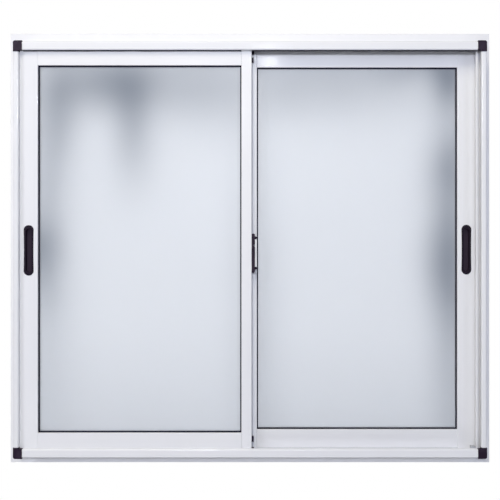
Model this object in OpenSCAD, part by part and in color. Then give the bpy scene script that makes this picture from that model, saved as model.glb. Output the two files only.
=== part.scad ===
// Two-leaf horizontal sliding window in white lacquered aluminium, for a masonry opening.
// X runs to the right as seen from the room, Y runs away from the room, and Z is up.
// The origin is on the room side of the rear flange, at mid width, level with the underside of the sill.
// The left sash runs in the front track and the right sash in the rear track.

/* [Overall] */
// Width across the flange
overall_w = 1200; // [900:1:2000]
// Height across the flange
overall_h = 1074; // [700:1:1800]
// Width of the flange beyond each jamb
jamb_flange_w = 25.5; // [12:0.5:40]
// Width of the flange beyond the head and the sill
rail_flange_w = 31.5; // [12:0.5:45]

/* [Frame profiles] */
// Thickness of the flange and of the rear wall that it continues
flange_t = 1.8; // [1.4:0.1:3]
// Wall of the head, sill and jamb profiles
frame_wall = 1.5; // [1.2:0.1:2.2]
// Height of the front tube and of the rear wall on the head and the sill
rail_h = 21; // [18:0.5:26]
// Width of the front tube and of the rear wall on the jambs
jamb_w = 13; // [10:0.5:18]
// Depth of the front tube
tube_d = 10; // [8:0.5:16]
// Radius of the front edges of the tube
tube_r = 3.5; // [2:0.5:3.5]
// Thickness of the tracks, divider fins and jamb legs
fin_t = 1.5; // [1.2:0.1:2]
// Height of the sill tracks above the underside of the sill
track_h = 14; // [12:0.5:16]
// Radius of the bead that the wheels run on
bead_r = 1.5; // [1.2:0.1:1.8]
// Length of the head guide fins below the top of the frame
guide_h = 20; // [16:0.5:22]
// Height of the divider between the tracks in the sill
sill_divider_h = 12; // [8:0.5:16]
// Length of the divider between the tracks in the head
head_divider_h = 23.5; // [14:0.5:26]
// Width of the lip along the edge of each jamb leg
leg_lip = 4; // [3:0.5:6]

/* [Fixing and drainage] */
// Diameter of the fixing holes in the jambs
fixing_d = 6; // [4:0.5:8]
// Distance of the fixing holes from the top and bottom of the frame
fixing_inset = 160; // [100:5:250]
// Length of the drain slots in the rear wall of the sill
drain_l = 28; // [15:1:40]
// Height of the drain slots
drain_h = 5; // [3:0.5:6]
// Distance of each drain slot from the middle of the sill
drain_x = 380; // [200:5:420]

/* [Corner blocks] */
// Width of the corner block across the front
corner_w = 21.5; // [18:0.5:26]
// Height of the corner block where it carries the jamb tube
corner_h = 25; // [22:0.5:30]
// How far the corner block stands proud in front and on its outer side
corner_proud = 1.6; // [0.5:0.1:3]
// Radius of the outer corner of the corner block
corner_r = 5; // [2:0.5:8]
// Length of the spigots that plug into the tubes
spigot_l = 18; // [10:1:30]

/* [Sashes] */
// Thickness of the sash profiles
sash_t = 20; // [18:0.5:24]
// Space between the front sash and the rear sash
sash_space = 8; // [7:0.5:12]
// Width of the outer stiles
stile_w = 48; // [44:0.5:60]
// Width of the interlock stiles
interlock_w = 25; // [23:0.5:34]
// Height of the top rails
top_rail_h = 45; // [38:0.5:60]
// Height of the bottom rails
bottom_rail_h = 50; // [46:0.5:65]
// Wall of the sash profiles
sash_wall = 1.5; // [1.2:0.1:1.8]
// Radius of the outer edges of the sash profiles
sash_r = 1; // [0.5:0.1:1.2]
// Overlap of the two interlock stiles when both sashes are shut
sash_overlap = 8; // [6:0.5:16]
// How far the rear sash stands short of its shut place
rear_sash_short = 4; // [0:0.5:6]
// Depth of the open channel along the outer edge of a stile
stile_channel = 15; // [13:0.5:17]
// Depth of the open channel along the top of a top rail
top_channel = 18; // [15:0.5:22]
// Depth of the open channel along the underside of a bottom rail
bottom_channel = 26; // [25:0.5:30]
// Height of the hook on each interlock stile, measured from the face of the sash
hook_h = 6; // [5:0.5:6]
// Length of the return of each hook
hook_l = 5; // [4:0.5:6]
// How far the hooks stop short of the ends of the interlock stiles
hook_inset = 54; // [50:1:80]

/* [Glass and gasket] */
// Thickness of the glass
glass_t = 4; // [3:0.5:5]
// Width of the glazing groove
groove_w = 9; // [8:0.5:11]
// Depth of the glazing groove
groove_d = 11; // [9.5:0.5:11]
// How far the glass reaches into the groove
glass_bite = 8; // [6:0.5:8.5]
// How far the gasket lip shows beyond the profiles
gasket_lip = 3; // [1.5:0.5:4]

/* [Pile seals] */
// Width of the brush of the pile seals
pile_w = 2.6; // [2:0.1:3]
// Width of the backing strip of the pile seals
pile_back_w = 4.6; // [4:0.1:5]
// Thickness of the backing strip
pile_back_t = 0.9; // [0.6:0.1:1.2]
// Distance of the pile seals from the outer edge of the rail
pile_inset = 6; // [5:0.5:8]
// Thickness of the lips in front of and behind the backing strip
pile_lip = 0.8; // [0.6:0.1:1]

/* [Rollers and guides] */
// Radius of the wheel at the bottom of its groove
wheel_r = 7.6; // [6:0.1:7.6]
// Radius of the wheel over its flanges
wheel_flange_r = 8.8; // [7.2:0.1:8.8]
// Width of the wheel
wheel_w = 6; // [5:0.5:7]
// Radius of the axle
axle_r = 2; // [1.5:0.1:2.5]
// Length of the roller housing
housing_l = 58; // [44:1:70]
// Width of the roller housing
housing_w = 15.6; // [14:0.2:16]
// Distance of the axles from the ends of the bottom rail
roller_inset = 75; // [50:1:120]
// Length of the top guides
top_guide_l = 32; // [20:1:50]

/* [Flush pulls] */
// Height of the pull over its flange
pull_h = 123; // [100:1:160]
// Width of the flange at each side of the finger cup
pull_side = 5; // [3:0.1:6]
// Length of the flange at each end of the finger cup
pull_end = 8.5; // [6:0.5:14]
// Depth of the finger cup
cup_d = 11; // [8:0.5:13]
// Thickness of the flange and of the walls of the cup
pull_t = 1.2; // [0.8:0.1:1.4]
// How far each long side of the flange is waisted
pull_waist = 0.7; // [0:0.1:1.2]
// Height of the middle of the pull above the underside of the sill
pull_z = 503; // [300:1:700]

/* [Centre latch] */
// Height of the latch body
latch_h = 95; // [80:1:120]
// How far the latch body stands out from the edge of the interlock stile
latch_w = 8; // [6:0.5:10]
// Depth of the latch body
latch_d = 13; // [10:0.5:16]
// Height of the middle of the latch above the underside of the sill
latch_z = 495.5; // [300:1:700]
// How far the back of the latch lies in front of the rear face of its sash
latch_setback = 3; // [1:0.5:6]
// Radius of the outer corners of the latch body
latch_r = 2.5; // [1:0.5:4]
// Height of the thumb notch above the middle of the latch
notch_z = 19; // [10:0.5:30]
// Radius of the thumb notch
notch_r = 5; // [3:0.5:7]
// Depth of the thumb notch in the edge of the latch body
notch_d = 2.5; // [1:0.5:3]
// Distance between the middles of the two latch arms
arm_pitch = 74.5; // [50:0.5:80]
// Thickness of the latch arms
arm_t = 6.5; // [4:0.5:8]
// Width of the keeper plate
keeper_w = 5.5; // [4:0.5:6]
// Thickness of the keeper plate
keeper_t = 1.2; // [0.8:0.1:1.4]

/* [Blocks in the channels] */
// Width of the base of the seal blocks
seal_base_w = 20; // [16:0.5:34]
// Height of the base above the divider
seal_base_t = 2; // [1.5:0.5:6]
// Width of the stem between the base and the pad
seal_stem_w = 7; // [5:0.5:12]
// Width of the pad at the tip of the seal blocks
seal_pad_w = 18; // [12:0.5:20]
// Height of the pad
seal_pad_h = 13; // [8:0.5:16]
// Reach of the upper seal block below the top of the frame
head_seal_l = 46; // [36:0.5:50]
// Reach of the lower seal block above the underside of the sill
sill_seal_l = 42; // [30:0.5:50]
// Length of the buffers along the track
buffer_l = 10; // [8:0.5:16]
// Depth of the buffers across the track
buffer_d = 12; // [9:0.5:18]
// Height of the buffers above the underside of the sill
buffer_h = 23; // [18:0.5:30]

/* [Clearances] */
// Gap between a sash face and the tube or wall beside it
track_gap = 2; // [1.5:0.1:3]
// Gap under the sashes, above the underside of the sill
sash_lift = 7; // [5:0.5:9]
// Gap between the top of the sashes and the top of the frame
sash_top_gap = 11.5; // [10.5:0.5:14]
// Gap between the outer edge of a shut sash and the outer face of its jamb
shut_gap = 8.5; // [6:0.5:9]
// Gap between a jamb leg and the walls of the channel that it stands in
leg_gap = 1.5; // [1:0.1:2.5]
// Gap at the butt joint between a rail and an upright
joint_gap = 0.2; // [0.1:0.05:0.3]
// Gap between a plugged or seated piece and its seat
seat_gap = 0.2; // [0.1:0.05:0.3]
// Gap between a moving piece and what it runs along
run_gap = 0.8; // [0.5:0.1:1]
// Gap between the roller housings and the track
housing_gap = 2; // [1:0.1:3]
// Gap between a finger cup and the chamber walls beside it
cup_gap = 1.3; // [0.8:0.1:3]

/* [Hidden] */

white = [0.93, 0.93, 0.95];
black = [0.14, 0.11, 0.15];
pale_grey = [0.62, 0.63, 0.66];
frosted = [0.80, 0.83, 0.88, 0.6];
$fn = 48;
// Small overlap that makes two shapes of one piece meet
eps = 0.01;

// Frame box, inside the flange
box_w = overall_w - 2 * jamb_flange_w;
box_h = overall_h - 2 * rail_flange_w;
jamb_x = box_w / 2;

// Middle planes of the sashes and of the divider between them
rear_y = -track_gap - sash_t / 2;
front_y = rear_y - sash_t - sash_space;
divider_y = (front_y + rear_y) / 2;
tube_back_y = front_y - sash_t / 2 - track_gap;
front_face_y = tube_back_y - tube_d;

// Jamb legs, which fill the open channel of a stile up to their gap.
// leg_step is how far the lip of a leg stands in front of its plate.
leg_end_x = jamb_x - shut_gap - stile_channel + leg_gap;
leg_step = sash_t - 2 * (sash_wall + leg_gap) - fin_t;

// Ends of the pieces that meet at the corners
tube_end_x = jamb_x - corner_w;
fin_end_x = leg_end_x - run_gap;

// Sashes, measured from their own outer edge and underside
shut_x = jamb_x - shut_gap;
sash_w = shut_x + sash_overlap / 2;
sash_bottom = sash_lift;
sash_top = box_h - sash_top_gap;
sash_h = sash_top - sash_bottom;
sight_bottom = sash_bottom + bottom_rail_h;
sight_top = sash_top - top_rail_h;
sight_w = sash_w - stile_w - interlock_w;

// T-slots that hold the pile seals
pile_slot_w = pile_back_w + 2 * seat_gap;
pile_slot_t = pile_back_t + 2 * seat_gap;
pile_mouth = pile_w + 2 * seat_gap;
pile_boss_w = pile_slot_w + 2 * sash_wall;
pile_boss_t = pile_lip + pile_slot_t + pile_lip;

// Reach of the piles from a sash face to the divider
divider_gap = (sash_space - fin_t) / 2;

// Rollers
axle_z = track_h + seat_gap + wheel_r;
bead_groove_r = bead_r + seat_gap;
housing_top = sash_bottom + bottom_channel;
housing_bottom = track_h + housing_gap;
wheel_pocket_l = 2 * (wheel_flange_r + run_gap);

// Finger cup, in the middle of the chamber of a stile
chamber_x0 = stile_channel + sash_wall;
chamber_x1 = stile_w - groove_d - sash_wall;
pull_x = (chamber_x0 + chamber_x1) / 2;
cup_w = chamber_x1 - chamber_x0 - 2 * (cup_gap + pull_t);
cup_h = pull_h - 2 * pull_end;
pull_w = cup_w + 2 * pull_side;

// Latch, between the edge of the left interlock stile and the keeper on the right one
latch_edge_x = sash_w - shut_x;
latch_back_y = front_y + sash_t / 2 - latch_setback;
keeper_edge_x = latch_edge_x - rear_sash_short - sash_overlap + interlock_w;
keeper_face_y = rear_y - sash_t / 2 - keeper_t;

// Extrudes a section drawn in Y and Z along X
module along_x(x0, x1) {
    translate([x0, 0, 0]) rotate([90, 0, 90]) linear_extrude(height = x1 - x0) children();
}

// Extrudes a section drawn in X and Y along Z
module along_z(z0, z1) {
    translate([0, 0, z0]) linear_extrude(height = z1 - z0) children();
}

// Extrudes an outline drawn in X and Z along Y
module along_y(y0, y1) {
    translate([0, y1, 0]) rotate([90, 0, 0]) linear_extrude(height = y1 - y0) children();
}

// Turns a piece of the sill into the same piece of the head
module at_head() {
    translate([0, 0, box_h]) mirror([0, 0, 1]) children();
}

// Shape on the +y face for side 1, and mirrored to the -y face for side -1
module on_face(side) {
    if (side > 0) children();
    else mirror([0, 1, 0]) children();
}

// Rectangle with round corners, from the origin
module round_rect(w, h, r) {
    translate([r, 0]) square([w - 2 * r, h]);
    translate([0, r]) square([w, h - 2 * r]);
    for (x = [r, w - r], y = [r, h - r]) translate([x, y]) circle(r);
}

// Upright slot shape with round ends, about the origin
module stadium(w, h) {
    square([w, h - w], center = true);
    for (s = [-1, 1]) translate([0, s * (h - w) / 2]) circle(d = w);
}

// Hollow front tube: 2D x is its depth from the front, 2D y its height
module tube_section(h) {
    difference() {
        union() {
            round_rect(tube_d, h, tube_r);
            translate([tube_d / 2, 0]) square([tube_d / 2, h]);
        }
        tube_bore(h, frame_wall);
    }
}

// Inside of the front tube, with the given wall left round it
module tube_bore(h, wall) {
    inner_r = tube_r - frame_wall;
    translate([wall, wall]) union() {
        round_rect(tube_d - 2 * wall, h - 2 * wall, inner_r);
        translate([(tube_d - 2 * wall) / 2, 0]) square([(tube_d - 2 * wall) / 2, h - 2 * wall]);
    }
}

// Full-width parts of a head or sill: flange, rear wall and web, each cut to its own length, with the tube
module channel_body() {
    along_x(-overall_w / 2, overall_w / 2)
        translate([0, -rail_flange_w]) square([flange_t, rail_flange_w]);
    along_x(-jamb_x, jamb_x) {
        square([flange_t, rail_h]);
        translate([tube_back_y, 0]) square([flange_t - tube_back_y, frame_wall]);
    }
    along_x(-tube_end_x, tube_end_x) translate([front_face_y, 0]) tube_section(rail_h);
}

// Upright fin on the web of a head or sill
module fin(y, h) {
    along_x(-fin_end_x, fin_end_x) translate([y - fin_t / 2, 0]) square([fin_t, h]);
}

module head_frame() {
    color(white) at_head() union() {
        channel_body();
        for (y = [front_y, rear_y]) fin(y, guide_h);
        fin(divider_y, head_divider_h);
    }
}

module sill_frame() {
    color(white) difference() {
        union() {
            channel_body();
            for (y = [front_y, rear_y]) {
                fin(y, track_h - bead_r);
                along_x(-fin_end_x, fin_end_x) translate([y, track_h - bead_r]) circle(bead_r);
            }
            fin(divider_y, sill_divider_h);
        }
        for (s = [-1, 1]) translate([s * drain_x, 0, frame_wall + drain_h / 2 + seat_gap])
            along_y(-eps, flange_t + eps) rotate(90) stadium(drain_h, drain_l);
    }
}

// Section of a jamb leg about the middle of its track: plate from the web, riser, and lip set forward of the plate
module leg_section() {
    riser_x = leg_end_x + leg_lip - fin_t;
    translate([riser_x, (leg_step - fin_t) / 2]) square([jamb_x - frame_wall / 2 - riser_x, fin_t]);
    translate([riser_x, -(leg_step + fin_t) / 2]) square([fin_t, leg_step + fin_t]);
    translate([leg_end_x, -(leg_step + fin_t) / 2]) square([leg_lip, fin_t]);
}

// Right jamb: tube, web, rear wall with flange, and a leg for each track.
// The rear wall and the flange are cut back where the head and the sill pass.
module jamb() {
    color(white) difference() {
        union() {
            along_z(corner_h, box_h - corner_h) translate([jamb_x, front_face_y])
                rotate(90) tube_section(jamb_w);
            along_z(frame_wall, box_h - frame_wall) {
                translate([jamb_x - frame_wall, tube_back_y]) square([frame_wall, -tube_back_y - seat_gap]);
                for (y = [front_y, rear_y]) translate([0, y]) leg_section();
            }
            along_z(rail_h, box_h - rail_h) {
                translate([jamb_x - frame_wall, tube_back_y]) square([frame_wall, -tube_back_y]);
                translate([jamb_x - jamb_w, 0]) square([jamb_w + jamb_flange_w, flange_t]);
            }
            along_z(0, box_h) translate([jamb_x, 0]) square([jamb_flange_w, flange_t]);
        }
        for (z = [fixing_inset, box_h - fixing_inset])
            translate([jamb_x - 2 * frame_wall, divider_y, z]) rotate([0, 90, 0])
                cylinder(h = 4 * frame_wall, d = fixing_d);
    }
}

module left_jamb() { mirror([1, 0, 0]) jamb(); }
module right_jamb() { jamb(); }

// Lower right corner block: body flush with the top of the sill tube, and a spigot into the tube of the sill and of the jamb
module corner() {
    color(black) union() {
        along_y(front_face_y - corner_proud, tube_back_y) difference() {
            translate([0, -corner_proud]) union() {
                translate([tube_end_x, 0]) square([corner_w, rail_h + corner_proud]);
                translate([jamb_x - jamb_w, 0]) square([jamb_w, corner_h + corner_proud]);
            }
            translate([jamb_x - corner_r, -corner_proud]) difference() {
                square(corner_r + eps);
                translate([0, corner_r]) circle(corner_r);
            }
        }
        translate([0, front_face_y, 0]) along_x(tube_end_x - spigot_l, tube_end_x + eps)
            tube_bore(rail_h, frame_wall + seat_gap);
        along_z(corner_h - eps, corner_h + spigot_l) translate([jamb_x, front_face_y])
            rotate(90) tube_bore(jamb_w, frame_wall + seat_gap);
    }
}

module bottom_right_corner() { corner(); }
module bottom_left_corner() { mirror([1, 0, 0]) corner(); }
module top_right_corner() { at_head() corner(); }
module top_left_corner() { at_head() mirror([1, 0, 0]) corner(); }

// Block that closes the gap between the interlock stiles, standing on a sill.
// Its base sits astride the divider, and a stem carries the pad that the stiles brush past.
module seal_block(reach, divider_h) {
    block_t = sash_space - 2 * run_gap;
    color(black) difference() {
        along_y(divider_y - block_t / 2, divider_y + block_t / 2) {
            translate([-seal_base_w / 2, frame_wall]) square([seal_base_w, divider_h + seal_base_t - frame_wall]);
            translate([-seal_stem_w / 2, frame_wall]) square([seal_stem_w, reach - frame_wall]);
            translate([-seal_pad_w / 2, reach - seal_pad_h]) square([seal_pad_w, seal_pad_h]);
        }
        along_x(-seal_base_w / 2 - eps, seal_base_w / 2 + eps)
            translate([divider_y - fin_t / 2 - seat_gap, 0]) square([fin_t + 2 * seat_gap, divider_h + seat_gap]);
    }
}

module head_seal_block() { at_head() seal_block(head_seal_l, head_divider_h); }
module sill_seal_block() { seal_block(sill_seal_l, sill_divider_h); }

// Buffer astride the end of a track, in front of the right jamb leg
module buffer(y) {
    slot_w = 2 * (bead_r + seat_gap);
    color(pale_grey) translate([fin_end_x - buffer_l, y, 0]) difference() {
        translate([0, -buffer_d / 2, frame_wall]) cube([buffer_l, buffer_d, buffer_h - frame_wall]);
        translate([-eps, -slot_w / 2, 0]) cube([buffer_l + 2 * eps, slot_w, track_h + seat_gap]);
    }
}

module left_buffer() { mirror([1, 0, 0]) buffer(rear_y); }
module right_buffer() { buffer(front_y); }

// Section of a sash profile: 2D x runs from the outer edge to the glass, 2D y across the thickness.
// open_d is the depth of the channel along the outer edge, and 0 closes that edge.
// piled gives the walls of that channel their T-slots for pile seals.
module sash_section(w, open_d, piled = false) {
    inner_t = sash_t - 2 * sash_wall;
    groove_x = w - groove_d;
    chamber_x = open_d > 0 ? open_d + sash_wall : sash_wall;
    side_t = (inner_t - groove_w) / 2 - sash_wall;
    difference() {
        translate([0, -sash_t / 2]) round_rect(w, sash_t, sash_r);
        translate([groove_x, -groove_w / 2]) square([groove_d + eps, groove_w]);
        if (side_t > 0) for (s = [-1, 1])
            translate([groove_x, s * (groove_w / 2 + sash_wall + side_t / 2) - side_t / 2])
                square([groove_d - sash_wall, side_t]);
        translate([chamber_x, -inner_t / 2]) square([groove_x - sash_wall - chamber_x, inner_t]);
        if (open_d > 0) difference() {
            translate([-eps, -inner_t / 2]) square([open_d + eps, inner_t]);
            if (piled) for (s = [-1, 1]) on_face(s)
                translate([pile_inset - pile_boss_w / 2, sash_t / 2 - pile_boss_t])
                    square([pile_boss_w, pile_boss_t]);
        }
        if (piled) for (s = [-1, 1]) on_face(s) pile_slot();
    }
}

// T-slot for a pile seal in the +y face
module pile_slot() {
    translate([pile_inset - pile_slot_w / 2, sash_t / 2 - pile_lip - pile_slot_t])
        square([pile_slot_w, pile_slot_t]);
    translate([pile_inset - pile_mouth / 2, sash_t / 2 - pile_lip - eps])
        square([pile_mouth, pile_lip + 2 * eps]);
}

// Cuts that let the tracks and guide fins pass through the ends of an upright
module end_cuts(w) {
    inner_t = sash_t - 2 * sash_wall;
    translate([-eps, -inner_t / 2, sash_bottom - eps])
        cube([w + 2 * eps, inner_t, bottom_channel + eps]);
    translate([-eps, -inner_t / 2, sash_top - top_channel])
        cube([w + 2 * eps, inner_t, top_channel + eps]);
}

// Outer stile, with its outer edge at x = 0 and the glass towards +x, and the cut-out for the pull
module stile_shape() {
    difference() {
        along_z(sash_bottom, sash_top) sash_section(stile_w, stile_channel);
        end_cuts(stile_w);
        translate([pull_x, 0, pull_z])
            along_y(-sash_t / 2 - eps, -sash_t / 2 + sash_wall + eps)
                stadium(cup_w + 2 * (pull_t + seat_gap), cup_h + 2 * (pull_t + seat_gap));
    }
}

// Interlock stile, with its outer edge at x = 0, the glass towards +x and its hook on the given side
module interlock_shape(side) {
    difference() {
        union() {
            along_z(sash_bottom, sash_top) sash_section(interlock_w, 0);
            along_z(sash_bottom + hook_inset, sash_top - hook_inset) on_face(side) {
                translate([0, sash_t / 2 - sash_r]) square([sash_wall, hook_h + sash_r]);
                translate([0, sash_t / 2 + hook_h - sash_wall]) square([hook_l, sash_wall]);
            }
        }
        end_cuts(interlock_w);
    }
}

// Both rails, between the uprights of a sash that starts at x = 0
module bottom_rail_shape() {
    along_x(stile_w + joint_gap, stile_w + sight_w - joint_gap) translate([0, sash_bottom]) rotate(90)
        sash_section(bottom_rail_h, bottom_channel, piled = true);
}

module top_rail_shape() {
    along_x(stile_w + joint_gap, stile_w + sight_w - joint_gap) translate([0, sash_top]) rotate(-90)
        sash_section(top_rail_h, top_channel, piled = true);
}

// Slab over the daylight opening, grown by the given margin, with the given thickness
module daylight(margin, t) {
    translate([stile_w - margin, -t / 2, sight_bottom - margin])
        cube([sight_w + 2 * margin, t, sight_top - sight_bottom + 2 * margin]);
}

module glass_shape() {
    daylight(glass_bite, glass_t);
}

// Channel gasket that wraps the edge of the glass and fills the groove
module gasket_shape() {
    difference() {
        daylight(groove_d - seat_gap, groove_w - seat_gap);
        daylight(-gasket_lip, groove_w);
        daylight(glass_bite + seat_gap / 2, glass_t + seat_gap / 2);
    }
}

// Pile seals of one rail as sections: the backing in the slot, and the brush up to each wall
module pile_section(front_gap, rear_gap) {
    for (g = [[-1, front_gap], [1, rear_gap]]) on_face(g[0]) {
        translate([pile_inset - pile_back_w / 2, sash_t / 2 - pile_lip - seat_gap - pile_back_t])
            square([pile_back_w, pile_back_t]);
        translate([pile_inset - pile_w / 2, sash_t / 2 - pile_lip - seat_gap - eps])
            square([pile_w, pile_lip + g[1] + eps]);
    }
}

module bottom_piles_shape(front_gap, rear_gap) {
    along_x(stile_w + seat_gap, stile_w + sight_w - seat_gap) translate([0, sash_bottom]) rotate(90)
        pile_section(rear_gap, front_gap);
}

module top_piles_shape(front_gap, rear_gap) {
    along_x(stile_w + seat_gap, stile_w + sight_w - seat_gap) translate([0, sash_top]) rotate(-90)
        pile_section(front_gap, rear_gap);
}

// Places of the rollers along a sash
function roller_places() = [stile_w + roller_inset, stile_w + sight_w - roller_inset];

// Housing with its axle, up against the web of the bottom rail
module roller_housings_shape() {
    for (x = roller_places()) translate([x, 0, 0]) union() {
        difference() {
            translate([-housing_l / 2, -housing_w / 2, housing_bottom])
                cube([housing_l, housing_w, housing_top - housing_bottom]);
            translate([-wheel_pocket_l / 2, -wheel_w / 2 - run_gap, housing_bottom - eps])
                cube([wheel_pocket_l, wheel_w + 2 * run_gap, housing_top - sash_wall - housing_bottom + eps]);
        }
        translate([0, 0, axle_z]) rotate([90, 0, 0]) cylinder(h = housing_w, r = axle_r, center = true);
    }
}

// Grooved wheels
module wheels_shape() {
    for (x = roller_places()) translate([x, 0, axle_z]) rotate([90, 0, 0]) rotate_extrude() difference() {
        translate([axle_r + seat_gap, -wheel_w / 2]) square([wheel_flange_r - axle_r - seat_gap, wheel_w]);
        translate([wheel_r + bead_groove_r, 0]) circle(bead_groove_r);
        translate([wheel_r + bead_groove_r, -bead_groove_r]) square([wheel_r, 2 * bead_groove_r]);
    }
}

// Guide blocks at the ends of the top rail, astride the guide fin
module top_guides_shape() {
    inner_t = sash_t - 2 * sash_wall;
    slot_w = fin_t + 2 * seat_gap;
    guide_w = inner_t - 2 * pile_boss_t;
    for (x = [stile_w, stile_w + sight_w - top_guide_l]) difference() {
        translate([x, -guide_w / 2, sash_top - top_channel])
            cube([top_guide_l, guide_w, top_channel]);
        translate([x - eps, -slot_w / 2, sash_top - top_channel + sash_wall])
            cube([top_guide_l + 2 * eps, slot_w, top_channel]);
    }
}

// Outline of the pull: round-ended, with its long sides drawn in
module pull_outline() {
    straight = pull_h - pull_w;
    waist_r = pow(straight / 2, 2) / (2 * max(pull_waist, eps)) + pull_waist / 2;
    difference() {
        stadium(pull_w, pull_h);
        for (s = [-1, 1]) translate([s * (pull_w / 2 - pull_waist + waist_r), 0])
            circle(waist_r, $fn = 360);
    }
}

// Flush pull in the face of a stile whose outer edge is at x = 0
module pull_shape() {
    face = -sash_t / 2;
    translate([pull_x, 0, pull_z]) difference() {
        union() {
            along_y(face - pull_t, face) pull_outline();
            along_y(face - eps, face + cup_d + pull_t) stadium(cup_w + 2 * pull_t, cup_h + 2 * pull_t);
        }
        along_y(face - pull_t - eps, face + cup_d) stadium(cup_w, cup_h);
    }
}

// Left sash in the front track, and right sash in the rear track, mirrored
module left_sash() { translate([-shut_x, front_y, 0]) children(); }
module right_sash() { translate([shut_x - rear_sash_short, rear_y, 0]) mirror([1, 0, 0]) children(); }

// An interlock stile starts at the far end of its sash
module far_edge() { translate([sash_w, 0, 0]) mirror([1, 0, 0]) children(); }

module left_stile() { color(white) left_sash() stile_shape(); }
module left_interlock() { color(white) left_sash() far_edge() interlock_shape(1); }
module left_top_rail() { color(white) left_sash() top_rail_shape(); }
module left_bottom_rail() { color(white) left_sash() bottom_rail_shape(); }
module left_glass() { color(frosted) left_sash() glass_shape(); }
module left_gasket() { color(black) left_sash() gasket_shape(); }
module left_top_piles() { color(pale_grey) left_sash() top_piles_shape(track_gap, divider_gap); }
module left_bottom_piles() { color(pale_grey) left_sash() bottom_piles_shape(track_gap, divider_gap); }
module left_top_guides() { color(black) left_sash() top_guides_shape(); }
module left_roller_housings() { color(black) left_sash() roller_housings_shape(); }
module left_wheels() { color(pale_grey) left_sash() wheels_shape(); }
module left_pull() { color(black) left_sash() pull_shape(); }

module right_stile() { color(white) right_sash() stile_shape(); }
module right_interlock() { color(white) right_sash() far_edge() interlock_shape(-1); }
module right_top_rail() { color(white) right_sash() top_rail_shape(); }
module right_bottom_rail() { color(white) right_sash() bottom_rail_shape(); }
module right_glass() { color(frosted) right_sash() glass_shape(); }
module right_gasket() { color(black) right_sash() gasket_shape(); }
module right_top_piles() { color(pale_grey) right_sash() top_piles_shape(divider_gap, track_gap); }
module right_bottom_piles() { color(pale_grey) right_sash() bottom_piles_shape(divider_gap, track_gap); }
module right_top_guides() { color(black) right_sash() top_guides_shape(); }
module right_roller_housings() { color(black) right_sash() roller_housings_shape(); }
module right_wheels() { color(pale_grey) right_sash() wheels_shape(); }
module right_pull() { color(black) right_sash() pull_shape(); }

// Latch on the edge of the left interlock stile, and its keeper on the face of the right one
module latch_body() {
    color(black) translate([latch_edge_x, 0, latch_z])
        along_y(latch_back_y - latch_d, latch_back_y) difference() {
            union() {
                translate([0, -latch_h / 2]) square([latch_w - latch_r, latch_h]);
                translate([0, latch_r - latch_h / 2]) square([latch_w, latch_h - 2 * latch_r]);
                for (s = [-1, 1]) translate([latch_w - latch_r, s * (latch_h / 2 - latch_r)]) circle(latch_r);
            }
            translate([latch_w - notch_d + notch_r, notch_z]) circle(notch_r);
        }
}

// Arms with round ends that lie over the keeper
module latch_arms() {
    arm_l = keeper_edge_x - latch_edge_x - latch_w;
    color(black) for (s = [-1, 1]) translate([latch_edge_x + latch_w, 0, latch_z + s * arm_pitch / 2 - arm_t / 2])
        along_y(latch_back_y - latch_d / 2, keeper_face_y - run_gap) intersection() {
            square([arm_l, arm_t]);
            union() {
                square([arm_l - arm_t / 2, arm_t]);
                translate([arm_l - arm_t / 2, arm_t / 2]) circle(d = arm_t);
            }
        }
}

module latch_keeper() {
    color(white) translate([keeper_edge_x - keeper_w, keeper_face_y, latch_z - arm_pitch / 2 + arm_t / 2])
        cube([keeper_w, keeper_t, arm_pitch - arm_t]);
}

head_frame();
sill_frame();
left_jamb();
right_jamb();
top_left_corner();
top_right_corner();
bottom_left_corner();
bottom_right_corner();
head_seal_block();
sill_seal_block();
left_buffer();
right_buffer();
left_stile();
left_interlock();
left_top_rail();
left_bottom_rail();
left_glass();
left_gasket();
left_top_piles();
left_bottom_piles();
left_top_guides();
left_roller_housings();
left_wheels();
left_pull();
right_stile();
right_interlock();
right_top_rail();
right_bottom_rail();
right_glass();
right_gasket();
right_top_piles();
right_bottom_piles();
right_top_guides();
right_roller_housings();
right_wheels();
right_pull();
latch_body();
latch_arms();
latch_keeper();
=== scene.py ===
import math

import bpy
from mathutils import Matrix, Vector


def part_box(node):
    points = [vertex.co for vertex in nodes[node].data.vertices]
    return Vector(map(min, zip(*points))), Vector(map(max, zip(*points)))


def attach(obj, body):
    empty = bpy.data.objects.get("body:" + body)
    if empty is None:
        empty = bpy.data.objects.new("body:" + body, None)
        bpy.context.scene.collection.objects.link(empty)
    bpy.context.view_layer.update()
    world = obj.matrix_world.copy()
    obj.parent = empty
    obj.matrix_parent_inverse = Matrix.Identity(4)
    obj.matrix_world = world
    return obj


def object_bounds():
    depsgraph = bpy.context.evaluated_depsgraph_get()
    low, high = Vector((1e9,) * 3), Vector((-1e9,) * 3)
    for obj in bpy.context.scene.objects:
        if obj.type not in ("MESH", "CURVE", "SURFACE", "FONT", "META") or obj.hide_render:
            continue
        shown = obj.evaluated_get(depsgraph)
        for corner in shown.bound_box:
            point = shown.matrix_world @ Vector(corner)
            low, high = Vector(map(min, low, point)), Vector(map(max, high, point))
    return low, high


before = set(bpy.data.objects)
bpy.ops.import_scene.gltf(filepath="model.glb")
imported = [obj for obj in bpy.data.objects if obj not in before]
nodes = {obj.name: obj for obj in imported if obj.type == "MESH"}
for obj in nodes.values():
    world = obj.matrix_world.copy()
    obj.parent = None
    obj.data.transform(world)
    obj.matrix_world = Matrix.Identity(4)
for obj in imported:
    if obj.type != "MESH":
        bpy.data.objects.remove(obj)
cad_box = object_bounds()


# Camera
# The window is seen straight on from the room, from about two metres away.
# The camera is level and a little above the middle of the window.
PHOTO_PX = 500
MM_PER_PX = 2.508
CAMERA_DISTANCE = 1.856
CAMERA_HEIGHT = 0.616
HORIZON_PX = 204
SENSOR_MM = 36.0

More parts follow.
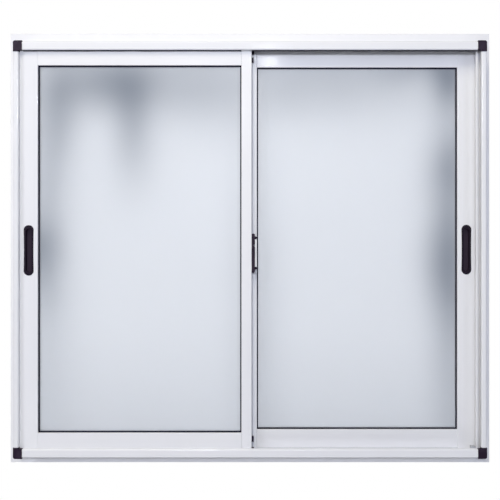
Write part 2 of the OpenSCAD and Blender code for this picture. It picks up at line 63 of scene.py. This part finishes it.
camera = bpy.data.objects.new("camera", bpy.data.cameras.new("camera"))
bpy.context.scene.collection.objects.link(camera)
bpy.context.scene.camera = camera
camera.location = (0.0, -CAMERA_DISTANCE, CAMERA_HEIGHT)
camera.rotation_euler = (math.radians(90), 0, 0)
camera.data.sensor_width = SENSOR_MM
camera.data.lens = SENSOR_MM * CAMERA_DISTANCE / (PHOTO_PX * MM_PER_PX / 1000)
camera.data.shift_y = (HORIZON_PX - PHOTO_PX / 2) / PHOTO_PX


# Studio floor
# A plain pale floor, a metre below the sill as in a room, made with a first use of the shader class.
# It lies under the window, and isn't part of it.
FLOOR_DROP = 1.0
FLOOR_HALF = 2.0
FLOOR_BACK = 1.6
FLOOR_DARK, FLOOR_LIGHT = (0.80, 0.80, 0.81), (0.84, 0.84, 0.85)
MOTTLE_PER_M = 6.0


class Shade:
    """A socket in a material's node tree. Sums on it add Math nodes, and node() adds any other node."""

    def __init__(self, tree, socket):
        self.tree, self.socket = tree, socket

    def node(self, kind, settings=None, sockets=None, out=0):
        made = self.tree.nodes.new(kind)
        for name, value in (settings or {}).items():
            if name == "stops":
                ramp = made.color_ramp
                while len(ramp.elements) < len(value):
                    ramp.elements.new(1.0)
                for stop, (at, colour) in zip(ramp.elements, value):
                    stop.position, stop.color = at, (*colour, 1)
            else:
                setattr(made, name, value)
        for name, value in (sockets or {}).items():
            if isinstance(value, Shade):
                self.tree.links.new(value.socket, made.inputs[name])
            else:
                made.inputs[name].default_value = value
        return Shade(self.tree, None if out is None else made.outputs[out])

    def math(self, operation, *others):
        return self.node("ShaderNodeMath", {"operation": operation}, dict(enumerate((self, *others))))

    def __add__(self, other):
        return self.math("ADD", other)

    __radd__ = __add__

    def __sub__(self, other):
        return self.math("SUBTRACT", other)

    def __rsub__(self, other):
        return self.node("ShaderNodeMath", {"operation": "SUBTRACT"}, {0: other, 1: self})

    def __mul__(self, other):
        return self.math("MULTIPLY", other)

    __rmul__ = __mul__

    def smooth(self, start, end):
        """0 at start, 1 at end, with an even curve between."""
        return self.node("ShaderNodeMapRange", {"interpolation_type": "SMOOTHSTEP"},
                         {"Value": self, "From Min": start, "From Max": end})

    def mix(self, first, second):
        """The colour first where this is 0, and second where it is 1."""
        first, second = ((*c, 1) if isinstance(c, tuple) else c for c in (first, second))
        return self.node("ShaderNodeMix", {"data_type": "RGBA"}, {0: self, 6: first, 7: second}, out=2)


def new_material(name, **constants):
    """A material with these values on its shader: (material, Object coordinates, a function that links the rest)."""
    material = bpy.data.materials.new(name)
    material.use_nodes = True
    shader = material.node_tree.nodes["Principled BSDF"]
    for key, value in constants.items():
        shader.inputs[key.replace("_", " ")].default_value = value
    start = Shade(material.node_tree, None)
    where = start.node("ShaderNodeTexCoord", out=3)

    def link(**links):
        for key, value in links.items():
            material.node_tree.links.new(value.socket, shader.inputs[key.replace("_", " ")])

    return material, where, link


def stretched(where, x, y, z):
    """Coordinates multiplied by a number on each axis."""
    return where.node("ShaderNodeVectorMath", {"operation": "MULTIPLY"}, {0: where, 1: (x, y, z)})


def noise(where, scale, detail=2.0, roughness=0.5):
    return where.node("ShaderNodeTexNoise", None,
                      {"Vector": where, "Scale": scale, "Detail": detail, "Roughness": roughness})


def bump(height, distance, strength=1.0):
    return height.node("ShaderNodeBump", None, {"Height": height, "Distance": distance, "Strength": strength})


def mesh_object(name, vertices, faces, material):
    mesh = bpy.data.meshes.new(name)
    mesh.from_pydata(vertices, [], faces)
    mesh.materials.append(material)
    made = bpy.data.objects.new(name, mesh)
    bpy.context.scene.collection.objects.link(made)
    return made


floor_paint, floor_where, floor_link = new_material("pale_floor", Roughness=0.9)
floor_link(Base_Color=noise(floor_where, MOTTLE_PER_M).mix(FLOOR_DARK, FLOOR_LIGHT))
floor_z = cad_box[0].z - FLOOR_DROP
floor = mesh_object("floor", [(-FLOOR_HALF, -FLOOR_HALF, floor_z), (FLOOR_HALF, -FLOOR_HALF, floor_z),
                              (FLOOR_HALF, FLOOR_BACK, floor_z), (-FLOOR_HALF, FLOOR_BACK, floor_z)],
                    [(0, 1, 2, 3)], floor_paint)


# Studio light
# Two low lights in front cast the short dark shadows under the head, and a soft high one the wider pale ones.
# Fills stand at both sides, a small light glints in the lacquer, and a white backdrop shines through the glass.
# Each light: (name, watts, colour, place, width, height), in metres.
LIGHTS = [("front_left", 35, (0.80, 0.835, 0.935), (-0.36, -3.47, 1.31), 0.33, 0.33),
          ("front_right", 21, (0.80, 0.835, 0.935), (0.36, -3.47, 1.31), 0.33, 0.33),
          ("high_light", 62, (1.0, 0.94, 0.77), (-0.52, -2.45, 3.49), 0.80, 1.60),
          ("left_fill", 30, (0.91, 0.92, 1.0), (-2.41, -2.03, 1.46), 1.00, 1.00),
          ("right_fill", 15, (0.69, 0.76, 1.0), (2.41, -2.03, 1.46), 1.00, 1.00),
          ("glint", 2.0, (1.0, 1.0, 1.0), (0.14, -4.2, 1.79), 0.16, 0.09)]
LIGHT_AIM = Vector((0, 0, 0.5))
ROOM, BACKDROP = (0.012, 0.012, 0.018), (1.02, 1.03, 1.07)
BACKDROP_FROM, BACKDROP_FULL = 0.1, 0.6

bpy.context.scene.view_settings.view_transform = "Standard"

world = bpy.data.worlds.new("studio")
bpy.context.scene.world = world
world.use_nodes = True
world.node_tree.nodes.clear()
room = Shade(world.node_tree, None)
toward = room.node("ShaderNodeSeparateXYZ", None, {0: room.node("ShaderNodeTexCoord")})
back = Shade(room.tree, toward.socket.node.outputs[1])
around = back.smooth(BACKDROP_FROM, BACKDROP_FULL).mix(ROOM, BACKDROP)
lit = room.node("ShaderNodeBackground", None, {"Color": around})
seen = room.node("ShaderNodeBackground", None, {"Color": (1, 1, 1, 1)})
to_eye = room.node("ShaderNodeLightPath")
surface = room.node("ShaderNodeMixShader", None, {0: to_eye, 1: lit, 2: seen})
room.node("ShaderNodeOutputWorld", None, {"Surface": surface}, out=None)

for name, watts, colour, place, width, height in LIGHTS:
    light = bpy.data.objects.new(name, bpy.data.lights.new(name, "AREA"))
    bpy.context.scene.collection.objects.link(light)
    light.data.energy, light.data.color = watts, colour
    light.data.shape, light.data.size, light.data.size_y = "RECTANGLE", width, height
    light.location = place
    light.rotation_euler = (LIGHT_AIM - light.location).to_track_quat("-Z", "Y").to_euler()


# Frame
# Head, sill and jambs are aluminium extrusions in gloss white lacquer, cut square and screwed at the corners.
# The lacquer shows a faint orange peel, over fine die lines along each profile.
WHITE_LIGHT, WHITE_DARK = (0.85, 0.85, 0.865), (0.825, 0.827, 0.85)
PEEL_PER_M, DIE_LINES_PER_M, LINES_ALONG = 700, 900, 3
CLOUD_STRETCH = 0.35
PEEL_DEPTH = 0.00003


def lacquer(name, along):
    """Gloss white lacquer on a profile that runs along X or Z."""
    material, where, link = new_material(name, Coat_Weight=0.5, Coat_Roughness=0.09, Specular_IOR_Level=0.3)
    run = [DIE_LINES_PER_M] * 3
    run["XYZ".index(along)] = LINES_ALONG
    lines = noise(stretched(where, *run), 1.0, 1.0)
    peel = noise(where, PEEL_PER_M, 1.5)
    cloud = noise(stretched(where, *(v ** CLOUD_STRETCH for v in run)), 1.0, 2.0).smooth(0.35, 0.65)
    link(Base_Color=cloud.mix(WHITE_LIGHT, WHITE_DARK),
         Roughness=0.42 + 0.08 * lines,
         Normal=bump(peel * 0.5 + lines * 0.5, PEEL_DEPTH, 0.5))
    return material


def finish_nodes(material, *names):
    """Gives CAD nodes their material."""
    for name in names:
        nodes[name].data.materials.clear()
        nodes[name].data.materials.append(material)


across = lacquer("white_lacquer_across", "X")
upright = lacquer("white_lacquer_upright", "Z")
finish_nodes(across, "head_frame", "sill_frame")
finish_nodes(upright, "left_jamb", "right_jamb")


# Corner blocks
# Each is an injection-moulded plastic block, plugged into the square-cut ends of the tubes.
# The moulding has a fine matt grain.
BLACK, BLACK_WORN = (0.017, 0.008, 0.021), (0.030, 0.019, 0.036)
GRAIN_PER_M, PATCHES_PER_M = 1400, 45
GRAIN_DEPTH = 0.00008


def moulded(name, dark, light, roughness):
    """Plastic with a fine spark-eroded grain."""
    material, where, link = new_material(name, Specular_IOR_Level=0.22)
    grain = noise(where, GRAIN_PER_M, 2.0)
    patch = noise(where, PATCHES_PER_M, 3.0).smooth(0.35, 0.7)
    link(Base_Color=patch.mix(dark, light), Roughness=roughness + 0.12 * grain, Normal=bump(grain, GRAIN_DEPTH, 0.7))
    return material


black_plastic = moulded("black_plastic", BLACK, BLACK_WORN, 0.45)
finish_nodes(black_plastic, *(f"{level}_{side}_corner" for level in ("top", "bottom") for side in ("left", "right")))


# Blocks in the channels
# A block of moulded black plastic closes the gap between the sashes at the head, and another at the sill.
# Buffers of grey nylon, pressed into the side channels, stop the sashes.
NYLON, NYLON_WORN = (0.42, 0.43, 0.46), (0.50, 0.51, 0.54)

finish_nodes(black_plastic, "head_seal_block", "sill_seal_block")
nylon = moulded("grey_nylon", NYLON, NYLON_WORN, 0.35)
finish_nodes(nylon, "left_buffer", "right_buffer")


# Sash profiles
# Stiles, interlock stiles and rails are aluminium extrusions in the lacquer of the frame.
# The rails are butted between the uprights, which run the full height of a sash.
for side in ("left", "right"):
    finish_nodes(upright, f"{side}_stile", f"{side}_interlock")
    finish_nodes(across, f"{side}_top_rail", f"{side}_bottom_rail")


# Glass
# Each pane is one sheet of float glass with an acid-etched back, which blurs what is behind it.
# Soft dark patches of painted shade in its colour stand in for blurred things behind the glass and for reflections.
# The patches are listed in millimetres: (x, z, width to each side, height to each side, strength).
GLASS_LIGHT, GLASS_SHADE = (0.86, 0.885, 0.915), (0.20, 0.235, 0.29)
LEFT_SHADE_PATCHES = [(-200, 915, 330, 100, 0.42), (-355, 900, 110, 62, 0.30), (-330, 945, 120, 50, 0.13),
               (-90, 870, 110, 120, 0.08), (-287, 812, 52, 120, 0.38), (-468, 830, 50, 130, 0.32),
               (-500, 520, 75, 480, 0.24), (-492, 640, 35, 130, 0.12), (-511, 508, 50, 70, 0.38),
               (-507, 417, 49, 74, 0.15), (-290, 700, 90, 110, 0.08), (-25, 420, 40, 420, 0.10)]
RIGHT_SHADE_PATCHES = [(199, 935, 260, 105, 0.40), (494, 925, 45, 62, 0.42), (440, 966, 85, 42, 0.24),
                (362, 935, 60, 45, 0.13), (85, 880, 60, 70, 0.08), (496, 520, 52, 560, 0.40),
                (490, 706, 60, 75, 0.24), (476, 470, 58, 125, 0.34), (500, 500, 22, 330, 0.10),
                (30, 352, 60, 480, 0.14)]
WANDER_PER_M, WANDER = 4.0, 0.25
DIM_FROM, DIM_TO, DIM = 0.36, -0.25, 0.26
ETCH_PER_M, ETCH_DEPTH = 260, 0.00004


def etched(name, shade_patches):
    """Frosted glass with painted shade: darker towards the sill and in each patch."""
    material, where, link = new_material(name, Roughness=0.5, Transmission_Weight=0.65, IOR=1.5)
    x = where.node("ShaderNodeSeparateXYZ", None, {0: where})
    z = Shade(where.tree, x.socket.node.outputs[2])
    wander = (noise(where, WANDER_PER_M, 2.0) - 0.5) * WANDER
    # Painted shade: the pane darkens towards the sill, and each patch below darkens it more.
    shade = z.smooth(DIM_FROM, DIM_TO) * DIM
    for cx, cz, rx, rz, strength in shade_patches:
        dx, dz = (x - cx / 1000) * (1000 / rx) + wander, (z - cz / 1000) * (1000 / rz) - wander
        shade = shade + (0.0 - (dx * dx + dz * dz)).math("EXPONENT") * strength
    link(Base_Color=shade.math("MINIMUM", 1.0).mix(GLASS_LIGHT, GLASS_SHADE),
         Normal=bump(noise(where, ETCH_PER_M, 2.0), ETCH_DEPTH, 0.5))
    return material


for name, shade_patches in (("left", LEFT_SHADE_PATCHES), ("right", RIGHT_SHADE_PATCHES)):
    finish_nodes(etched(f"{name}_frosted_glass", shade_patches), f"{name}_glass")


# Gaskets and piles
# A channel gasket of black rubber wraps the edge of each pane and sits in the grooves of the sash.
# Strips of woven grey pile slide into T-slots of the rails and brush the frame.
RUBBER, RUBBER_DUSTY = (0.005, 0.003, 0.014), (0.010, 0.006, 0.026)
PILE_DARK, PILE_LIGHT = (0.46, 0.47, 0.49), (0.80, 0.81, 0.83)
FIBRES_PER_M, FIBRE_STRETCH, FIBRE_DEPTH = 2600, 0.15, 0.0002

rubber = moulded("black_rubber", RUBBER, RUBBER_DUSTY, 0.65)
finish_nodes(rubber, "left_gasket", "right_gasket")
pile, pile_where, pile_link = new_material("grey_pile", Roughness=0.95, Sheen_Weight=0.4)
fibres = noise(stretched(pile_where, 1, 1, FIBRE_STRETCH), FIBRES_PER_M, 1.0)
pile_link(Base_Color=fibres.mix(PILE_DARK, PILE_LIGHT), Normal=bump(fibres, FIBRE_DEPTH))
finish_nodes(pile, *(f"{side}_{place}_piles" for side in ("left", "right") for place in ("top", "bottom")))


# Rollers and guides
# Each sash runs on two grooved nylon wheels, in moulded housings inside its bottom rail.
# Two moulded guide blocks in its top rail steer it along the head.
finish_nodes(nylon, "left_wheels", "right_wheels")
finish_nodes(black_plastic, "left_roller_housings", "right_roller_housings", "left_top_guides", "right_top_guides")


# Flush pulls
# A moulded finger cup with a narrow waisted flange clips into a slot in the face of each outer stile.
# Hands keep the flange dark and clean, and a little dust greys the bottom of the cup.
PULL_BLACK, DUSTY = (0.012, 0.006, 0.015), (0.036, 0.023, 0.041)
DUST_FROM, PULL_DEPTH = 0.001, 0.010
DUST_PER_M = 60


def pull_plastic(name, face_y):
    """The moulded black of a pull, from its face at face_y to the dust in its cup."""
    material, where, link = new_material(name, Specular_IOR_Level=0.18)
    grain = noise(where, GRAIN_PER_M, 2.0)
    depth = Shade(where.tree, where.node("ShaderNodeSeparateXYZ", None, {0: where}).socket.node.outputs[1])
    dust = depth.smooth(face_y + DUST_FROM, face_y + PULL_DEPTH) * (0.75 + 0.5 * noise(where, DUST_PER_M, 2.0))
    link(Base_Color=dust.mix(PULL_BLACK, DUSTY), Roughness=0.42 + 0.12 * grain,
         Normal=bump(grain, GRAIN_DEPTH, 0.7))
    return material


for side in ("left", "right"):
    finish_nodes(pull_plastic(f"{side}_pull_plastic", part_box(f"{side}_pull")[0].y), f"{side}_pull")


# Centre latch
# The latch body, of moulded black plastic, is screwed to the edge of the front interlock stile.
# Its two arms close over a white plastic keeper on the interlock stile behind.
WHITE_PLASTIC, WHITE_CLEAN = (0.90, 0.90, 0.91), (0.95, 0.95, 0.96)

finish_nodes(black_plastic, "latch_body", "latch_arms")
latch_white = moulded("white_plastic", WHITE_PLASTIC, WHITE_CLEAN, 0.30)
finish_nodes(latch_white, "latch_keeper")


# Latch slide
# A bar of white plastic slides on the side of the latch body, between the arms, and works them.
# It is moulded in one piece, with a bevel at its ends and outer edge and a row of grooves for the thumb.
SLIDE_X = (12.0, 16.8)
SLIDE_Z = (462.0, 529.0)
SLIDE_BACK, SLIDE_FACE, SLIDE_EDGE = -39.6, -43.0, 0.7
GROOVES, GROOVE_PITCH, GROOVE_Y = 13, 2.0, -42.5
GROOVE_TOP, GROOVE_FLOOR = 0.6, 0.3


def lofted(name, runs, material):
    """A mesh skinned and closed over each run of rings, which are lists of (x, y, z) in millimetres."""
    vertices, faces = [], []
    for rings in runs:
        first, count = len(vertices), len(rings[0])
        for ring in rings:
            vertices += [(x / 1000, y / 1000, z / 1000) for x, y, z in ring]
        last = len(vertices) - count
        for start in range(first, last, count):
            faces += [(start + i, start + (i + 1) % count, start + count + (i + 1) % count, start + count + i)
                      for i in range(count)]
        faces += [tuple(first + i for i in reversed(range(count))), tuple(last + i for i in range(count))]
    return mesh_object(name, vertices, faces, material)


# Each level up the slide is (z, face, how far the bevel draws in).
levels = [(SLIDE_Z[0], SLIDE_FACE + SLIDE_EDGE, SLIDE_EDGE), (SLIDE_Z[0] + SLIDE_EDGE, SLIDE_FACE, 0.0)]
for groove in range(GROOVES):
    at = (SLIDE_Z[0] + SLIDE_Z[1]) / 2 + (groove - GROOVES // 2) * GROOVE_PITCH
    levels += [(at - GROOVE_TOP, SLIDE_FACE, 0.0), (at - GROOVE_FLOOR, GROOVE_Y, 0.0),
               (at + GROOVE_FLOOR, GROOVE_Y, 0.0), (at + GROOVE_TOP, SLIDE_FACE, 0.0)]
levels += [(SLIDE_Z[1] - SLIDE_EDGE, SLIDE_FACE, 0.0), (SLIDE_Z[1], SLIDE_FACE + SLIDE_EDGE, SLIDE_EDGE)]
rings = []
for z, face, drawn_in in levels:
    outer = SLIDE_X[1] - drawn_in
    rings.append([(SLIDE_X[0], SLIDE_BACK, z), (SLIDE_X[0], face, z), (outer - SLIDE_EDGE, face, z),
                  (outer, face + SLIDE_EDGE, z), (outer, SLIDE_BACK, z)])
slide = lofted("latch_slide", [rings], latch_white)
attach(slide, "root")


# Wiper strip, standing in for shade
# A flat strip of black rubber is glued under the front tube of the head, and its lip wipes the front sash. Its black
# also stands in for the dark shadow under the head tube.
# It stops short at the interlock, where the head block stands. The part below the glue waves a little.
SHADE_WIPER_SECTION = [(-57.6, 990.1), (-57.6, 989.3), (-56.8, 988.9), (-51.2, 988.7),
                 (-50.1, 988.2), (-50.1, 988.8), (-51.6, 990.1)]
SHADE_WIPER_RUNS = [(-552.8, -21.4), (4.3, 552.8)]
SHADE_WIPER_STATION = 15.0
SHADE_WIPER_GLUED_Z = 990.0
SHADE_WIPER_WAVES = [(0.08, 31), (0.05, 12)]

runs = []
for start, end in SHADE_WIPER_RUNS:
    stations = round((end - start) / SHADE_WIPER_STATION)
    rings = []
    for k in range(stations + 1):
        x = start + (end - start) * k / stations
        sag = sum(drop * math.sin(x / length) for drop, length in SHADE_WIPER_WAVES)
        rings.append([(x, y, z + (sag if z < SHADE_WIPER_GLUED_Z else 0)) for y, z in SHADE_WIPER_SECTION])
    runs.append(rings)
# The strip's black is a dark piece put in the shadow under the head.
shade_wiper = lofted("head_shade_wiper", runs, rubber)
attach(shade_wiper, "root")


# Screws
# Pan-head screws of steel, lacquered as the frame is, hold the jambs to the ends of the head and the sill.
# Two small black ones hold the latch. Each head has a cross recess, and sits on a point, turned outwards.
SCREW_REACH = 574.5
FRAME_SCREWS = [((side * SCREW_REACH, y, z), (side, 0, 0))
                for side in (-1, 1) for y in (-40.0, -12.0) for z in (6.5, 1004.5)]
LATCH_SCREWS = [((12.0, -36.4, z), (1, 0, 0)) for z in (478.0, 513.0)]
FRAME_HEAD, LATCH_HEAD = (0.0040, 0.0016), (0.0022, 0.0010)
HEAD_SIDES, HEAD_STAND, HEAD_DOME = 24, 0.45, 0.6
RECESS_LENGTH, RECESS_WIDTH = 1.05, 0.26
RECESS_DEPTHS = (("X", "Y", 1.3), ("Y", "X", 1.38))
TURN_SEED = 3
TREE_INPUTS = (("Points", "Geometry"), ("Head Radius", "Float"), ("Head Height", "Float"), ("Finish", "Material"))

head_tree = bpy.data.node_groups.new("screw_heads", "GeometryNodeTree")
for label, kind in TREE_INPUTS:
    head_tree.interface.new_socket(label, in_out="INPUT", socket_type=f"NodeSocket{kind}")
head_tree.interface.new_socket("Heads", in_out="OUTPUT", socket_type="NodeSocketGeometry")
points = Shade(head_tree, None).node("NodeGroupInput")
radius, height, finish = (Shade(head_tree, points.socket.node.outputs[i]) for i in (1, 2, 3))
disc = points.node("GeometryNodeMeshCylinder", {"fill_type": "TRIANGLE_FAN"},
                   {"Vertices": HEAD_SIDES, "Side Segments": 1, "Fill Segments": 4,
                    "Radius": radius, "Depth": height})
on_x = points.node("ShaderNodeSeparateXYZ", None, {0: points.node("GeometryNodeInputPosition")})
on_y, on_z = (Shade(head_tree, on_x.socket.node.outputs[i]) for i in (1, 2))
outwards = (on_x * on_x + on_y * on_y).math("DIVIDE", radius * radius)
dome = on_z.math("GREATER_THAN", 0.0) * (1.0 - outwards) * (height * HEAD_DOME)
domed = points.node("GeometryNodeSetPosition", None,
                    {"Geometry": disc, "Offset": points.node("ShaderNodeCombineXYZ", None, {"Z": dome})})
lifted = points.node("ShaderNodeCombineXYZ", None, {"Z": height})
bars = []
for wide, narrow, deep in RECESS_DEPTHS:
    size = points.node("ShaderNodeCombineXYZ", None,
                       {wide: radius * RECESS_LENGTH, narrow: radius * RECESS_WIDTH, "Z": height * deep})
    bar = points.node("GeometryNodeMeshCube", None, {"Size": size})
    bars.append(points.node("GeometryNodeTransform", None, {"Geometry": bar, "Translation": lifted}))
cut = points.node("GeometryNodeMeshBoolean", {"operation": "DIFFERENCE"}, {"Mesh 1": domed, "Mesh 2": bars[0]})
head_tree.links.new(bars[1].socket, cut.socket.node.inputs["Mesh 2"])
outward = points.node("GeometryNodeInputNamedAttribute", {"data_type": "FLOAT_VECTOR"}, {"Name": "outward"})
facing_out = points.node("FunctionNodeAlignRotationToVector", {"axis": "Z"}, {"Vector": outward})
heads = points.node("GeometryNodeInstanceOnPoints", None,
                    {"Points": points, "Instance": cut, "Rotation": facing_out})
turn = points.node("FunctionNodeRandomValue", {"data_type": "FLOAT"},
                   {2: 0.0, 3: math.pi / 2, 8: TURN_SEED}, out=1)
turned = points.node("GeometryNodeRotateInstances", None,
                     {"Instances": heads, "Rotation": points.node("ShaderNodeCombineXYZ", None, {"Z": turn})})
plain = points.node("GeometryNodeRealizeInstances", None, {"Geometry": turned})
coated = points.node("GeometryNodeSetMaterial", None, {"Geometry": plain, "Material": finish})
points.node("NodeGroupOutput", None, {0: coated}, out=None)


def screw_heads(name, places, head_radius, head_height, material, slot):
    """Screw heads at (place in millimetres, direction outwards), as one plain mesh."""
    seats = bpy.data.meshes.new(name)
    centres = [tuple(c / 1000 + n * head_height * HEAD_STAND for c, n in zip(*place)) for place in places]
    seats.from_pydata(centres, [], [])
    facing = seats.attributes.new("outward", "FLOAT_VECTOR", "POINT")
    for item, (_, normal) in zip(facing.data, places):
        item.vector = normal
    made = bpy.data.objects.new(name, seats)
    bpy.context.scene.collection.objects.link(made)
    modifier = made.modifiers.new("heads", "NODES")
    modifier.node_group = head_tree
    given = {"Head Radius": head_radius, "Head Height": head_height, "Finish": material}
    for socket in head_tree.interface.items_tree:
        if socket.name in given:
            modifier[socket.identifier] = given[socket.name]
    evaluated = made.evaluated_get(bpy.context.evaluated_depsgraph_get())
    baked = bpy.data.meshes.new_from_object(evaluated)
    made.modifiers.clear()
    # Set Material leaves an empty first place in the list of materials.
    baked.materials.clear()
    baked.materials.append(material)
    baked.polygons.foreach_set("material_index", [0] * len(baked.polygons))
    made.data = baked
    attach(made, "root")


screw_heads("frame_screws", FRAME_SCREWS, *FRAME_HEAD, upright, "white_lacquer")
screw_heads("latch_screws", LATCH_SCREWS, *LATCH_HEAD, black_plastic, "black_plastic")
